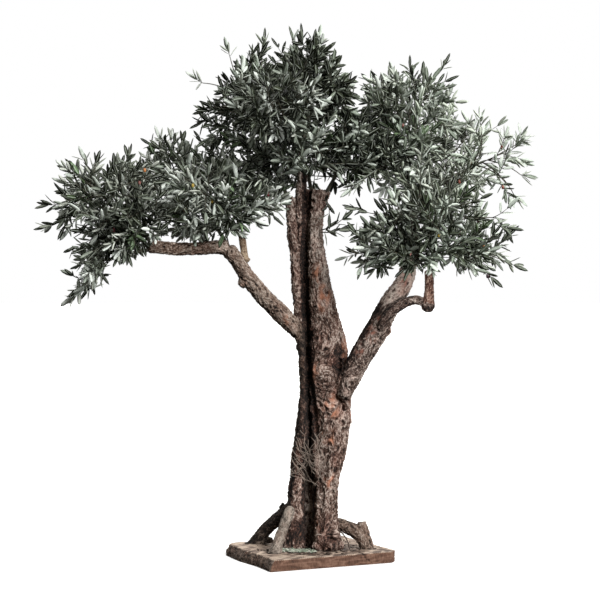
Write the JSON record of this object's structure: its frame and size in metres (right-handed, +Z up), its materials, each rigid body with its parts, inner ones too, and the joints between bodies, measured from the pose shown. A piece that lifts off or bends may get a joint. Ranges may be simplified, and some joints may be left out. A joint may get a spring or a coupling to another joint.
{
  "type": "artificial olive tree on a wooden base board",
  "caption": "Artificial olive tree with a twisted real-bark trunk, two boughs and narrow-leaved foliage masses, on a rough-sawn wooden base board.",
  "frame": {"origin": "centre of the base board's flat underside", "axes": "+Z up along the trunk, +X to the right and -Y towards the viewer, seen from the tree's front"},
  "size_m": [2.0031, 1.1499, 2.141],
  "materials": {
    "board_wood": "rough",
    "bark": "rough",
    "tan_bark": "rough",
    "red_bark": "rough",
    "dark_bark": "rough",
    "pale_bark": "rough",
    "olive_foliage": "satin"
  },
  "bodies": {
    "root": {"base_board": "board_wood", "trunk": "bark", "left_bough": "bark", "left_arm": "bark", "left_stub": "tan_bark", "right_bough": "bark", "right_arm": "bark", "right_stub": "red_bark", "prop_rear_left": "dark_bark", "prop_front_left": "pale_bark", "prop_right": "bark", "foliage_left_outer": "olive_foliage", "foliage_left_droop": "olive_foliage", "foliage_left_inner": "olive_foliage", "foliage_left_back": "olive_foliage", "foliage_centre_left": "olive_foliage", "foliage_centre_top": "olive_foliage", "foliage_centre_front": "olive_foliage", "foliage_centre_back": "olive_foliage", "foliage_centre_right": "olive_foliage", "foliage_right_upper": "olive_foliage", "foliage_right_outer": "olive_foliage", "foliage_right_lower": "olive_foliage", "foliage_right_back": "olive_foliage"}
  },
  "joints": []
}
